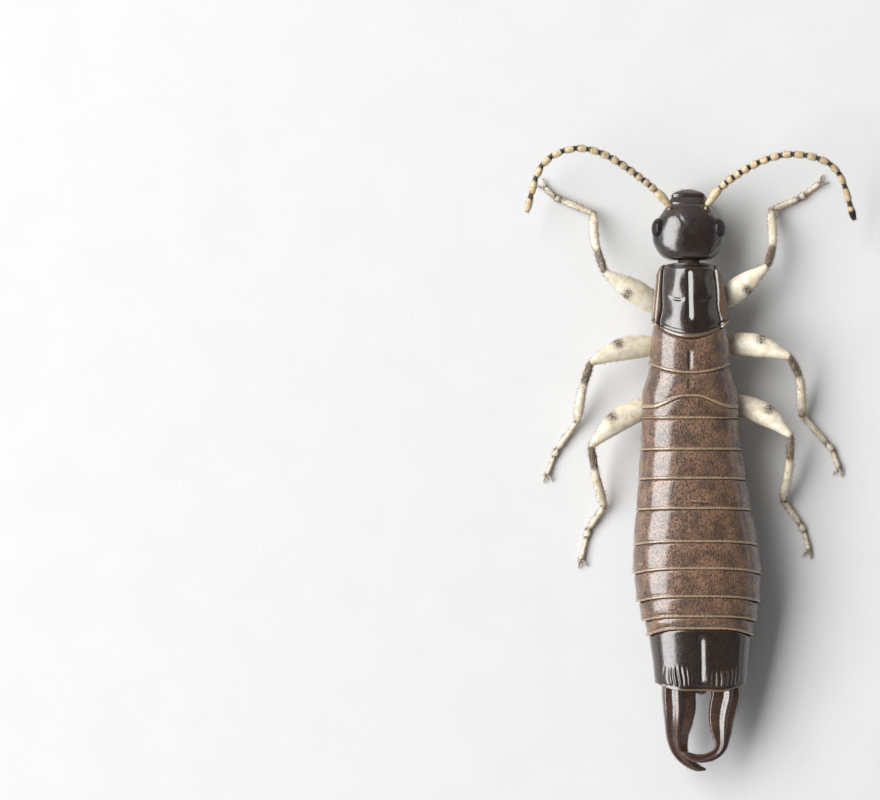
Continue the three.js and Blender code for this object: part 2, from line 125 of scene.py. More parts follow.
# Pincers: points down the middle of each branch, with half-widths seen from above and half-heights.
PINCERS = {
    "left": [(-0.57, -11.5, 2.1, 0.88, 0.66), (-0.57, -12.1, 2.1, 0.88, 0.66),
             (-0.54, -12.7, 2.05, 0.86, 0.64), (-0.57, -13.4, 1.95, 0.76, 0.58),
             (-0.63, -14.14, 1.8, 0.61, 0.46), (-0.56, -14.75, 1.7, 0.49, 0.38),
             (-0.36, -15.22, 1.62, 0.37, 0.32), (0.0, -15.6, 1.6, 0.28, 0.28),
             (0.4, -15.85, 1.6, 0.2, 0.22), (0.84, -15.95, 1.62, 0.06, 0.08)],
    "right": [(1.80, -11.5, 2.1, 0.80, 0.66), (1.83, -12.1, 2.1, 0.80, 0.66),
              (1.71, -12.65, 2.05, 0.78, 0.64), (1.61, -13.36, 2.0, 0.70, 0.58),
              (1.62, -14.14, 2.02, 0.53, 0.46), (1.6, -14.68, 2.12, 0.36, 0.36),
              (1.36, -15.08, 2.22, 0.27, 0.29), (0.9, -15.3, 2.3, 0.24, 0.25),
              (0.4, -15.33, 2.36, 0.22, 0.22), (-0.05, -15.2, 2.42, 0.18, 0.18),
              (-0.5, -14.96, 2.48, 0.06, 0.06)],
}


# Numbers and curves

BEND, BEND_START, BEND_RUN = 0.57, 4, 16
LEAN, LEAN_START, LEAN_RUN = 0.08, 6, 6
CURVE_STEPS = 30


def smooth(t):
    s = np.clip(t, 0, 1)
    return s * s * (3 - 2 * s)


def onset(x, start, run):
    """From 0 at start to 1 after a run."""
    return smooth((x - start) / run)


def fade(x, end, run):
    """From 1 to 0 at an end, over a run."""
    return smooth((end - x) / run)


def bell(x, middle, width):
    return np.exp(-(((x - middle) / width) ** 2))


def through(stations, values, x):
    """Values at x of a smooth curve through rising stations, without overshoot."""
    stations, values, x = (np.asarray(a, float) for a in (stations, values, x))
    gaps = np.diff(stations)
    slopes = np.diff(values) / gaps
    ahead, behind = slopes[1:], slopes[:-1]
    inner = np.where(ahead * behind > 0, 2 * ahead * behind / (ahead + behind + 1e-12), 0)
    tangents = np.concatenate([slopes[:1], inner, slopes[-1:]])
    i = np.clip(np.searchsorted(stations, x) - 1, 0, len(gaps) - 1)
    t = np.clip((x - stations[i]) / gaps[i], 0, 1)
    rise = values[i] * (1 + 2 * t) * (1 - t) ** 2 + values[i + 1] * t * t * (3 - 2 * t)
    return rise + gaps[i] * (tangents[i] * t * (1 - t) ** 2 - tangents[i + 1] * t * t * (1 - t))


def curve_through(points, shares):
    """Points at shares of the length of a smooth curve through a few points."""
    p = np.asarray(points, float)
    ends = [2 * p[0] - p[1], *p, 2 * p[-1] - p[-2]]
    t = np.linspace(0, 1, CURVE_STEPS, endpoint=False)[:, None]
    spans = [
        (2 * b + (c - a) * t + (2 * a - 5 * b + 4 * c - d) * t**2 + (3 * b - a - 3 * c + d) * t**3) / 2
        for a, b, c, d in zip(ends, ends[1:], ends[2:], ends[3:])
    ]
    dense = np.vstack([*spans, p[-1:]])
    steps = np.linalg.norm(np.diff(dense, axis=0), axis=1)
    along = np.concatenate([[0], np.cumsum(steps)]) / steps.sum()
    return np.column_stack([np.interp(shares, along, dense[:, i]) for i in range(dense.shape[1])])


def furrow(x, middle, steep, gentle):
    """A furrow with a steep left wall and a gentle right one."""
    return bell(x, middle, np.where(x < middle, steep, gentle))


def unit(v):
    return v / np.maximum(np.linalg.norm(v, axis=-1, keepdims=True), 1e-12)


def midline(y):
    """The body bends a little to the right behind the thorax, and the head leans left."""
    return BEND * fade(y, BEND_START, BEND_RUN) - LEAN * onset(y, LEAN_START, LEAN_RUN)


# Meshes

MERGE_DISTANCE = 1e-8

# Skins that bristles can grow on, by piece.
skins = {}


def grid_of(x, y, z):
    """A grid of points from three coordinates that spread over it."""
    return np.stack(np.broadcast_arrays(x, y, z), axis=-1)


def around(count, start=0.0):
    """Angles at even steps round a full turn, as a row."""
    return np.linspace(start, start + 2 * math.pi, count, endpoint=False)[None, :]


def mirrored(points, side):
    """Points of the right side, or their mirror image where side is -1."""
    return np.array(points) * [side, 1, 1]


def centre_of(spot, side):
    """Where a part of the head lies that has a twin on the other side."""
    return np.array([midline(spot["y"]) + side * spot["x"], spot["y"], spot["z"]])


def link_object(name, data):
    thing = bpy.data.objects.new(name, data)
    bpy.context.scene.collection.objects.link(thing)
    return thing


def place_piece(name, mesh, material, slot, *nodes):
    """Puts a mesh in the scene, in place of the solids that it stands for."""
    mesh.materials.append(material)
    thing = link_object(name, mesh)
    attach(thing, "root")
    if nodes:
        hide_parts(*nodes)


class Piece:
    """Collects closed surfaces, with a tone for each vertex, into one mesh."""

    def __init__(self, name):
        self.name = name
        self.points, self.faces, self.tones = [], [], []
        self.skins = []
        self.count = 0

    def add(self, points, faces, tones):
        self.points.append(points)
        self.faces += [tuple(int(v) + self.count for v in face) for face in faces]
        self.tones.append(tones)
        self.count += len(points)

    def tube(self, grid, tone=0.0):
        """A closed surface through rings: grid is rings by sides by 3, and its ends are capped."""
        rings, sides = grid.shape[:2]
        tones = np.broadcast_to(np.asarray(tone, float), (rings, sides))
        faces = strips(rings, sides, True)
        caps = np.array([grid[0].mean(0), grid[-1].mean(0)])
        total = rings * sides
        for j in range(sides):
            k = (j + 1) % sides
            faces.append((total, k, j))
            faces.append((total + 1, total - sides + j, total - sides + k))
        ends = [tones[0].mean(), tones[-1].mean()]
        self.add(np.vstack([grid.reshape(-1, 3), caps]), faces, np.concatenate([tones.ravel(), ends]))
        self.skins.append(Skin(np.concatenate([grid, grid[:, :1]], axis=1)))

    def plate(self, grid, thickness, tone=0.0):
        """A thin plate with round edges: grid is its outer face, rows by columns by 3."""
        rows, columns = grid.shape[:2]
        count = rows * columns
        tones = np.broadcast_to(np.asarray(tone, float), (rows, columns)).ravel()
        normal = grid_normals(grid)
        inner = grid - normal * thickness
        rim = np.pad((grid + inner) / 2, ((1, 1), (1, 1), (0, 0)), mode="edge")
        reach = thickness / 2
        for lines in (rim, rim.swapaxes(0, 1)):
            for last, inside in ((0, 2), (-1, -3)):
                lines[last] += reach * unit(lines[last] - lines[inside])
        faces = strips(rows, columns, False)
        faces += [tuple(v + count for v in face[::-1]) for face in faces]
        edge = loop_of(np.arange(count).reshape(rows, columns))
        beyond = trim_corners(np.arange((rows + 2) * (columns + 2)).reshape(rows + 2, columns + 2))
        for n, a in enumerate(edge):
            following = (n + 1) % len(edge)
            b = edge[following]
            c, d = 2 * count + n, 2 * count + following
            faces.append((a, c, d, b))
            faces.append((a + count, b + count, d, c))
        points = [grid.reshape(-1, 3), inner.reshape(-1, 3), rim.reshape(-1, 3)[beyond]]
        self.add(np.vstack(points), faces, np.concatenate([tones, tones, tones[edge]]))
        self.skins.append(Skin(grid, normal))

    def build(self, slot, *nodes):
        mesh = bpy.data.meshes.new(self.name)
        mesh.from_pydata((np.vstack(self.points) * MM).tolist(), [], self.faces)
        tone = mesh.attributes.new("tone", "FLOAT", "POINT")
        tone.data.foreach_set("value", np.concatenate(self.tones).astype(np.float32))
        work = bmesh.new()
        work.from_mesh(mesh)
        bmesh.ops.remove_doubles(work, verts=work.verts, dist=MERGE_DISTANCE)
        bmesh.ops.recalc_face_normals(work, faces=work.faces)
        work.to_mesh(mesh)
        work.free()
        mesh.polygons.foreach_set("use_smooth", [True] * len(mesh.polygons))
        place_piece(self.name, mesh, LOOKS[slot], slot, *nodes)
        skins[self.name] = self.skins


class Skin:
    """A grid of skin that hairs can be set on."""

    def __init__(self, grid, normal=None):
        self.grid = grid
        self.normal = outward(grid) if normal is None else normal
        self.lie = unit(np.gradient(grid, axis=0))

    def sample(self, u, v):
        """Points, normals and lie directions at shares u along and v across."""
        rows, columns = self.grid.shape[:2]
        x, y = u * (rows - 1), v * (columns - 1)
        i, j = np.minimum(x.astype(int), rows - 2), np.minimum(y.astype(int), columns - 2)
        a, b = (x - i)[:, None], (y - j)[:, None]

        def mix(field):
            near = field[i, j] * (1 - b) + field[i, j + 1] * b
            return near * (1 - a) + (field[i + 1, j] * (1 - b) + field[i + 1, j + 1] * b) * a

        return mix(self.grid), unit(mix(self.normal)), unit(mix(self.lie))


def strips(rows, columns, closed):
    """The faces between a grid's rows."""
    faces = []
    for i in range(rows - 1):
        for j in range(columns if closed else columns - 1):
            k = (j + 1) % columns
            faces.append((i * columns + j, i * columns + k, (i + 1) * columns + k, (i + 1) * columns + j))
    return faces


def loop_of(ids):
    """The indices round the edge of a grid, once."""
    return np.concatenate([ids[0, :-1], ids[:-1, -1], ids[-1, :0:-1], ids[:0:-1, 0]])


def trim_corners(ids):
    """The edge of a padded grid, matched one to one with the edge of the grid inside it."""
    return np.concatenate([ids[0, 1:-2], ids[1:-2, -1], ids[-1, -2:1:-1], ids[-2:1:-1, 0]])


def facing_away(grid, middle):
    """A grid's normals, pointing away from its middle."""
    normal = unit(np.cross(np.gradient(grid, axis=0), np.gradient(grid, axis=1)))
    return normal * np.sign((normal * (grid - middle)).sum(-1).mean() + TINY)


def grid_normals(grid):
    """Normals of a body plate, pointing away from the body's middle."""
    middle = grid.mean(axis=1, keepdims=True)
    middle[..., 2] = sum(SIDE_LINE) / 2
    return facing_away(grid, middle)


def outward(grid):
    """Normals of a tube, pointing away from its middle line."""
    return facing_away(grid, grid[:, :-1].mean(axis=1, keepdims=True))


def across_and_up(curve):
    """Unit vectors across a curve in plan, and at right angles to it and them."""
    along = unit(np.gradient(curve, axis=0))
    across = unit(np.cross(along, [0.0, 0.0, 1.0]))
    return across, np.cross(across, along)


def limb_grid(points, shares, sizes, sides, stations=None):
    """Rings round a curve, from its radii or its half-widths and half-heights at rising stations."""
    widths, heights = np.broadcast_to(sizes, (2, np.shape(sizes)[-1]))
    stations = np.linspace(0, 1, len(widths)) if stations is None else stations
    centre = curve_through(points, shares)
    across, rise = across_and_up(centre)
    angles = around(sides)[..., None]
    wide = through(stations, widths, shares)[:, None, None]
    high = through(stations, heights, shares)[:, None, None]
    return centre[:, None] + np.cos(angles) * across[:, None] * wide + np.sin(angles) * rise[:, None] * high


def rounded(count, start=0.0, end=1.0):
    """Shares from start to end, close together at both ends, for rounded tips."""
    return start + (end - start) * (1 - np.cos(np.linspace(0, math.pi, count))) / 2


def add_limb(piece, points, sizes, tone=0.0, rows=40, sides=24):
    """A limb's joint, with one tone or a function that gives it along the joint and round it."""
    shares = rounded(rows)
    tones = tone(shares[:, None], around(sides)) if callable(tone) else tone
    piece.tube(limb_grid(points, shares, sizes, sides), tones)


# Body sections

TYPICAL_HALF, TYPICAL_HEIGHT = 3.0, 2.0
SECTION_STEPS = 4001


def section_values(y):
    """The body's half-width, top, underside and side line at y."""
    rising = JOINTS[::-1]
    half, top, under = (through(rising[:, 0], rising[:, i], y) for i in (2, 3, 4))
    side = SIDE_LINE[0] + (SIDE_LINE[1] - SIDE_LINE[0]) * fade(y, SIDE_LINE_START, SIDE_LINE_RUN)
    return half, top, under, side


def rounder(part, fullness=FULLNESS):
    """A cosine or sine turned to that of a fuller section."""
    return np.sign(part) * np.abs(part) ** fullness


def section_grid(y, angle, section, lift, fullness=FULLNESS):
    """Points at y and an angle round a section: its half-width, top, underside and side line."""
    half, top, under, side = section
    height = np.where(np.sin(angle) > 0, top - side, side - under)
    x = midline(y) + rounder(np.cos(angle), fullness) * (half + lift)
    return grid_of(x, y, side + rounder(np.sin(angle), fullness) * (height + lift))


def body_points(y, angle, lift):
    """Points on the body's skin at y and an angle, 0 at the right side line and pi at the left."""
    return section_grid(y, angle, section_values(y), lift)


def section_angles(low, high, count):
    """A row of angles at even steps round a typical section, so that a plate's columns lie evenly."""
    angle = np.linspace(low, high, SECTION_STEPS)
    x = TYPICAL_HALF * rounder(np.cos(angle))
    z = TYPICAL_HEIGHT * rounder(np.sin(angle))
    along = np.concatenate([[0], np.cumsum(np.hypot(np.diff(x), np.diff(z)))])
    return np.interp(np.linspace(0, along[-1], count), along, angle)[None, :]


def across_share(angle):
    """Where across the body an angle lies, -1 at the left side and 1 at the right."""
    return rounder(np.cos(angle))


# How each hind margin runs, from how far across it lies: nearly straight, with its corners turned.

def even_arc(s):
    return np.abs(s) ** 1.95


def corner_arc(s):
    return np.abs(s) ** 4


def peaked_arc(s):
    return onset(np.abs(s), 0.1, 0.75)


def last_arc(s):
    return corner_arc(s) - 0.14 * bell(s, 0.4, 0.22) - 0.04 * bell(s, -0.5, 0.2)


ARCS = [corner_arc, even_arc, even_arc, peaked_arc, *[corner_arc] * 9, last_arc]


def margin_y(joint, angle):
    return JOINTS[joint, 0] + JOINTS[joint, 1] * ARCS[joint](across_share(angle))


# Materials

def srgb(colour):
    """A colour from 0 to 255 as the shader's linear numbers."""
    shares = (c / 255 for c in colour)
    return (*(c / 12.92 if c <= 0.04045 else ((c + 0.055) / 1.055) ** 2.4 for c in shares), 1.0)


def set_inputs(node, numbers):
    for key, number in numbers.items():
        node.inputs[key].default_value = number


def set_range(node, *numbers):
    """Makes a map range node turn two numbers into two others."""
    set_inputs(node, dict(zip(("From Min", "From Max", "To Min", "To Max"), numbers)))


class Nodes:
    """A short way to write a material's nodes."""

    def __init__(self, name):
        self.material = bpy.data.materials.new(name)
        self.material.use_nodes = True
        self.tree = self.material.node_tree
        self.shader = next(n for n in self.tree.nodes if n.type == "BSDF_PRINCIPLED")
        where = self.node("ShaderNodeTexCoord")
        scale = self.node("ShaderNodeVectorMath", operation="SCALE")
        scale.inputs["Scale"].default_value = 1 / MM
        self.link(where.outputs["Object"], scale.inputs[0])
        self.place = scale.outputs[0]

    def node(self, kind, **settings):
        made = self.tree.nodes.new(kind)
        for key, value in settings.items():
            setattr(made, key, value)
        return made

    def link(self, source, target):
        self.tree.links.new(source, target)

    def pattern(self, kind, numbers, **settings):
        """A texture node in millimetres, with its numbers set."""
        made = self.node(kind, **settings)
        self.link(self.place, made.inputs["Vector"])
        set_inputs(made, numbers)
        return made

    def noise(self, scale, detail=3.0, roughness=0.55, distortion=0.0):
        numbers = {"Scale": scale, "Detail": detail, "Roughness": roughness, "Distortion": distortion}
        return self.pattern("ShaderNodeTexNoise", numbers).outputs["Fac"]

    def cells(self, scale, feature="F1", randomness=1.0):
        numbers = {"Scale": scale, "Randomness": randomness}
        return self.pattern("ShaderNodeTexVoronoi", numbers, feature=feature).outputs["Distance"]

    def tone(self):
        return self.node("ShaderNodeAttribute", attribute_name="tone").outputs["Fac"]

    def span(self, value, low, high, out_low=0.0, out_high=1.0):
        n = self.node("ShaderNodeMapRange", interpolation_type="SMOOTHSTEP")
        self.link(value, n.inputs["Value"])
        set_range(n, low, high, out_low, out_high)
        return n.outputs["Result"]

    def math(self, operation, a, b):
        n = self.node("ShaderNodeMath", operation=operation)
        for socket, value in zip(n.inputs, (a, b)):
            if isinstance(value, (int, float)):
                socket.default_value = value
            else:
                self.link(value, socket)
        return n.outputs[0]

    def mix(self, share, a, b):
        n = self.node("ShaderNodeMix", data_type="RGBA")
        self.link(share, n.inputs["Factor"])
        for socket, value in ((n.inputs["A"], a), (n.inputs["B"], b)):
            if isinstance(value, tuple):
                socket.default_value = srgb(value)
            else:
                self.link(value, socket)
        return n.outputs["Result"]

    def bump(self, height, distance, below=None):
        n = self.node("ShaderNodeBump")
        set_inputs(n, {"Distance": distance * MM, "Strength": 1.0})
        self.link(height, n.inputs["Height"])
        if below is not None:
            self.link(below, n.inputs["Normal"])
        return n.outputs["Normal"]

    def finish(self, colour, roughness, normal=None, **fixed):
        self.link(colour, self.shader.inputs["Base Color"])
        self.link(roughness, self.shader.inputs["Roughness"])
        if normal is not None:
            self.link(normal, self.shader.inputs["Normal"])
        names = (key.replace("_", " ").title().replace("Ior", "IOR") for key in fixed)
        set_inputs(self.shader, dict(zip(names, fixed.values())))
        return self.material


# Near-black for negative tone: painted shade in grooves, creases and under plate edges, and the dark ring
# round each eye.
SHADE_AND_EYE_RING_BLACK = (12, 9, 8)
LEG_MARK = (66, 48, 36)
FEELER_MARK = (34, 23, 17)


def shell_material(name, base, dark, margin, pit_scale, pit_depth, gloss):
    """Hard shell: mottled and finely pitted, paler where tone nears 1 and blacker where it nears -1. Tone
    near 1 gives pale margins and painted highlights; tone near -1 gives painted shade and the dark ring
    round each eye.
    """
    n = Nodes(name)
    mottle = n.span(n.noise(1.3, 5.0, 0.65), 0.35, 0.65)
    grain = n.span(n.noise(9.0, 3.0, 0.6), 0.3, 0.7)
    body = n.mix(n.math("MULTIPLY", mottle, 0.7), base, dark)
    pits = n.span(n.cells(pit_scale), 0.1, 0.5)
    body = n.mix(n.math("MULTIPLY", n.math("SUBTRACT", 1.0, pits), 0.85), body, dark)
    body = n.mix(n.math("MULTIPLY", grain, 0.5), body, dark)
    tone = n.tone()
    # Margin colour where tone is positive: pale margins and painted highlights. Near-black where tone is
    # negative: painted shade and the eye ring.
    colour = n.mix(n.span(tone, 0.05, 1.0), body, margin)
    colour = n.mix(n.span(n.math("MULTIPLY", tone, -1.0), 0.05, 1.0), colour, SHADE_AND_EYE_RING_BLACK)
    rough = n.span(n.noise(4.0, 2.0), 0.3, 0.7, gloss, gloss + 0.12)
    fine = n.bump(n.noise(26.0, 2.0), pit_depth * 0.35)
    return n.finish(
        colour, rough, n.bump(pits, pit_depth, fine),
        ior=1.45, coat_weight=1.0, coat_roughness=0.16, coat_ior=1.65,
    )


def leg_material():
    """Pale straw, a little clear, with brown where tone nears 1."""
    n = Nodes("leg_straw")
    mottle = n.span(n.noise(2.4, 4.0, 0.6), 0.35, 0.7)
    body = n.mix(mottle, (227, 219, 201), (205, 192, 164))
    speck = n.span(n.noise(14.0, 3.0, 0.6), 0.42, 0.62)
    tone = n.math("MULTIPLY", n.tone(), n.math("ADD", n.math("MULTIPLY", speck, 0.45), 0.62))
    colour = n.mix(n.span(tone, 0.05, 0.95), body, LEG_MARK)
    normal = n.bump(n.cells(11.0), 0.008, n.bump(n.noise(30.0, 2.0), 0.004))
    return n.finish(
        colour, n.span(n.noise(5.0), 0.3, 0.7, 0.34, 0.5), normal,
        subsurface_weight=0.25, subsurface_scale=0.00035, coat_weight=0.15, coat_roughness=0.2,
    )


def feeler_material():
    """Horn brown, with nearly black ends where tone nears 1."""
    n = Nodes("feeler_horn")
    body = n.mix(n.span(n.noise(5.0, 3.0), 0.35, 0.65), (206, 190, 158), (178, 154, 116))
    colour = n.mix(n.span(n.tone(), 0.05, 0.95), body, FEELER_MARK)
    normal = n.bump(n.cells(18.0), 0.006)
    return n.finish(
        colour, n.span(n.noise(6.0), 0.3, 0.7, 0.38, 0.55), normal,
        subsurface_weight=0.15, subsurface_scale=0.0003, coat_weight=0.1, coat_roughness=0.25,
    )


def skin_material():
    """Soft skin between the plates, finely folded."""
    n = Nodes("joint_skin")
    body = n.mix(n.span(n.noise(3.0, 4.0), 0.35, 0.65), (78, 60, 46), (48, 36, 28))
    folds = n.noise(12.0, 4.0, 0.6, 0.6)
    return n.finish(
        body, n.span(folds, 0.3, 0.7, 0.5, 0.7), n.bump(folds, 0.03),
        subsurface_weight=0.1, subsurface_scale=0.0003,
    )


def eye_material():
    """Black, set all over with small six-sided lenses."""
    n = Nodes("eye_black")
    lens = n.span(n.cells(16.0, "DISTANCE_TO_EDGE", 0.25), 0.0, 0.12)
    colour = n.mix(lens, (10, 8, 8), (34, 26, 24))
    return n.finish(
        colour, n.span(lens, 0.0, 1.0, 0.3, 0.16), n.bump(lens, 0.012),
        ior=1.36, coat_weight=0.15, coat_roughness=0.05,
    )


def hair_material(name, light, dark):
    n = Nodes(name)
    colour = n.mix(n.span(n.noise(2.0), 0.3, 0.7), light, dark)
    return n.finish(colour, n.span(n.noise(8.0), 0.3, 0.7, 0.35, 0.5))


def floor_material():
    """Plain pale paper, very slightly uneven."""
    n = Nodes("floor_paper")
    colour = n.mix(n.span(n.noise(0.35, 4.0), 0.3, 0.7), (207, 207, 207), (205, 205, 205))
    return n.finish(colour, n.span(n.noise(1.0), 0.3, 0.7, 0.85, 0.95), n.bump(n.noise(6.0, 4.0), 0.01))


# Shells by slot: their name, base, dark and margin colours, the pits' scale and depth, and the gloss. The
# margin colour also gives the painted highlights.
SHELLS = {
    "shield": ("shell_black_brown", (50, 34, 25), (24, 16, 13), (134, 108, 82), 7.0, 0.005, 0.18),
    "back": ("shell_chestnut", (138, 103, 78), (48, 35, 28), (174, 149, 118), 9.0, 0.04, 0.3),
    "pincer": ("shell_pincer", (78, 50, 36), (38, 25, 19), (150, 112, 78), 6.0, 0.006, 0.2),
    "mouth": ("shell_mouth", (96, 60, 40), (40, 26, 20), (150, 112, 78), 6.0, 0.006, 0.24),
}
LOOKS = {slot: shell_material(*shell) for slot, shell in SHELLS.items()}
LOOKS.update(leg=leg_material(), feeler=feeler_material(), neck=skin_material(), eye=eye_material())
PALE_HAIR = hair_material("bristle_horn", (150, 122, 86), (104, 78, 52))
DARK_HAIR = hair_material("bristle_brown", (86, 66, 50), (52, 40, 32))


# Back plates

PLATE_LOW = -0.42
PLATE_COLUMNS = {"abdomen_10": 280}
USUAL_COLUMNS = 180
FRONT_ROWS, MIDDLE_ROWS, RIM_ROWS = 9, 20, 8

# How far a plate reaches under the one before it, where its collar starts, and where its front ends.
TUCK, COLLAR, FRONT = 0.3, 0.16, 0.3

# How deep its front lies, how far its middle swells and its hind rim stands up, and the groove before that.
SUNK, SWELL, RIM_LIFT, GROOVE_DEPTH = 0.12, 0.035, 0.03, 0.012

# How far the hind corners of the later plates stand out.
CORNERS = {"abdomen_06": 0.04, "abdomen_07": 0.09, "abdomen_08": 0.09, "abdomen_09": 0.09,
           "abdomen_10": 0.06}


def plate_rows(length):
    """Shares of a plate's length where its rows of points lie."""
    front = np.linspace(-COLLAR / length, FRONT / length, FRONT_ROWS)
    middle = np.linspace((FRONT + 0.06) / length, 0.9, MIDDLE_ROWS)
    return np.concatenate([[-TUCK / length], front, middle, rounded(RIM_ROWS, 0.92, 1.0)])[:, None]


def back_plate(name, joint):
    """A back plate from under the one before it to its own hind margin."""
    angle = section_angles(PLATE_LOW, math.pi - PLATE_LOW, PLATE_COLUMNS.get(name, USUAL_COLUMNS))
    s = across_share(angle)
    length = JOINTS[joint, 0] - JOINTS[joint + 1, 0]
    along = plate_rows(length)
    start, end = margin_y(joint, angle), margin_y(joint + 1, angle)
    y = start + (end - start) * along
    deep = along * length
    rim = smooth((deep - length + 0.11) / 0.04)
    groove = bell(deep, length - 0.15, 0.04)
    corner = onset(np.abs(s), 0.8, 0.2) * onset(along, 0.5, 0.5) + 0.4 * np.abs(s) ** 4
    lift = SWELL * np.sin(math.pi * np.clip(along, 0, 1)) - 0.02
    lift = lift - SUNK * fade(deep, 0.16, 0.24) + CORNERS.get(name, 0.0) * corner
    lift = lift + RIM_LIFT * rim - GROOVE_DEPTH * groove
    shown = onset(np.sin(angle), -0.3, 0.5)
    # Paler hind rim where seen from above; painted shadow at the front, where the plate goes under the one
    # before, and painted shade in the groove before the rim.
    tone = 0.6 * rim * shown - 0.9 * fade(deep, 0.1, 0.1) - 0.35 * groove
    if name in DETAILS:
        more, tint = DETAILS[name](along, s)
        lift, tone = lift + more, tone + tint
    piece = Piece(f"back_{name}")
    piece.plate(body_points(y, angle, lift), PLATE, np.clip(tone, -1, 1))
    return piece


def middle_groove(start, end, depth):
    """A short groove down the middle of a plate, with painted shade on its steep left wall and a painted
    highlight along its gentle right wall.
    """
    def detail(along, s):
        run = smooth((along - start) / 0.1) * smooth((end - along) / 0.1)
        lift = -depth * run * furrow(s, -0.05, 0.03, 0.1)
        # Painted highlight right of the groove, painted shade on its steep left wall.
        return lift, run * (0.3 * bell(s, 0.03, 0.03) - 0.8 * bell(s, -0.06, 0.025))
    return detail


def scar(along, s):
    """A small raised scratch on the fourth ring, coloured paler as a painted highlight, with a painted
    shadow line behind it.
    """
    run = onset(s, -0.12, 0.06) * fade(s, 0.36, 0.1)
    middle = 0.74 + 0.14 * s
    raised = bell(along, middle, 0.03)
    # Painted highlight on the scratch and painted shadow behind it.
    return 0.035 * run * raised, run * (0.5 * raised - 0.8 * bell(along, middle + 0.07, 0.03))


def last_plate(along, s):
    """The large last plate: a groove down its middle, and wrinkled swellings over the pincers."""
    run = onset(along, 0.1, 0.06) * fade(along, 0.92, 0.1)
    lift = -0.11 * run * furrow(s, -0.03, 0.03, 0.1)
    # Painted shade on the groove's steep left wall and a painted highlight on its right.
    tint = run * (0.4 * bell(s, 0.04, 0.03) - 0.8 * bell(s, -0.045, 0.03))
    for side in (-1, 1):
        swelling = bell(s, 0.5 * side, 0.27)
        fan = np.sin(62 * (s - 0.5 * side) / (0.4 + 0.65 * along) + 1.5 * np.sin(7 * s + 9 * along))
        wrinkles = fan * swelling * onset(along, 0.6, 0.1) * fade(along, 0.94, 0.03)
        lift = lift + 0.1 * swelling * onset(along, 0.55, 0.3) + 0.026 * wrinkles
        # Wrinkle crests painted paler and troughs darker: painted light and shade on the wrinkles.
        tint = tint + 0.35 * wrinkles
    notch = onset(along, 0.9, 0.05) * bell(s, 0, 0.2)
    return lift - 0.03 * notch, tint


DETAILS = {
    "mesothorax": middle_groove(0.3, 0.95, 0.075),
    "metathorax": middle_groove(0.25, 0.7, 0.025),
    "abdomen_04": scar,
    "abdomen_10": last_plate,
}


def build_backs():
    for joint, name in enumerate(BACKS, start=1):
        back_plate(name, joint).build("shield" if name == "abdomen_10" else "back", name)


# Front shield: half-widths and heights of its middle at y.
SHIELD_HALVES = [(6.3, 2.0), (7.1, 1.97), (8.0, 1.88), (8.9, 1.77), (9.8, 1.66), (10.1, 1.6)]
SHIELD_TOPS = [(6.3, 3.66), (8.0, 3.56), (9.4, 3.34), (10.1, 3.16)]
SHIELD_ARCH = 0.6
SHIELD_THICKNESS = PLATE * 1.2
SHIELD_ROWS, SHIELD_COLUMNS = 68, 130


def build_shield():
    """The front shield, with turned-up side margins, a middle groove, creases and a raised hind rim."""
    front = rounded(12, 0, 0.08)[:-1]
    hind = rounded(14, 0.9, 1.0)[1:]
    u = np.concatenate([front, np.linspace(0.08, 0.9, SHIELD_ROWS), hind])[:, None]
    s = np.sin(np.linspace(-math.pi / 2, math.pi / 2, SHIELD_COLUMNS))[None, :]
    width = np.abs(s)
    start = JOINTS[0, 0] + 0.05 - 0.14 * width ** 3 - 0.42 * width ** 16
    end = JOINTS[1, 0] + 0.04 + 0.74 * width ** 2
    y = start + (end - start) * u
    x = midline(y) + s * through(*np.transpose(SHIELD_HALVES), y)
    top = through(*np.transpose(SHIELD_TOPS), y)

    flange = 0.78 - 0.1 * onset(u, 0.3, 0.7) * fade(u, 0.9, 0.3)
    run = onset(u, 0.07, 0.05) * fade(u, 0.8, 0.08)
    crease = bell(u, 0.5 - 0.5 * (width - 0.36) ** 2, 0.02)
    crease = crease * onset(width, 0.12, 0.22) * fade(width, 0.64, 0.3)
    rim = onset(u, 0.955, 0.015)

    arch = SHIELD_ARCH * np.minimum(width / flange, 1) ** 1.75 + 0.16 * fade(u, 0.07, 0.07)
    margin = 0.05 * bell(width, 0.93, 0.06) - 0.05 * bell(width, flange, 0.06)
    margin = margin - 0.16 * smooth((width - flange) / (1 - flange)) ** 2
    humps = 0.1 * bell(width, 0.4, 0.22) * bell(u, 0.26, 0.17)
    humps = humps + 0.08 * bell(width, 0.38, 0.24) * bell(u, 0.7, 0.18)
    dents = 0.12 * run * furrow(s, -0.06, 0.03, 0.11) + 0.075 * crease + 0.04 * bell(u, 0.93, 0.025)
    z = top - arch + margin + humps - dents + 0.045 * rim

    # pale: paler turned-up side margins and hind rim, and a painted highlight on the middle groove's gentle
    # right wall. dark: painted shade on the groove's steep left wall, in the groove before the hind rim, in
    # the creases and in the groove inside each turned-up margin.
    pale = 0.5 * smooth((width - flange) / 0.12) + 0.6 * rim + 0.3 * run * bell(s, 0.02, 0.035)
    dark = 0.8 * run * bell(s, -0.07, 0.025) + 0.5 * bell(u, 0.93, 0.02) + 0.5 * crease
    dark = dark + 0.6 * bell(width, flange, 0.03)
    piece = Piece("back_prothorax")
    piece.plate(grid_of(x, y, z), SHIELD_THICKNESS, np.clip(pale - dark, -1, 1))
    piece.build("shield", "prothorax")


# Underside

# Plates under the thorax: front and hind y, and the angle left free at each side.
BREASTS = [(9.5, 7.7, 0.85), (6.6, 5.2, 0.75), (4.6, 3.0, 0.7)]
BELLY_LOW = 0.12
BELLY_SUNK = 0.16


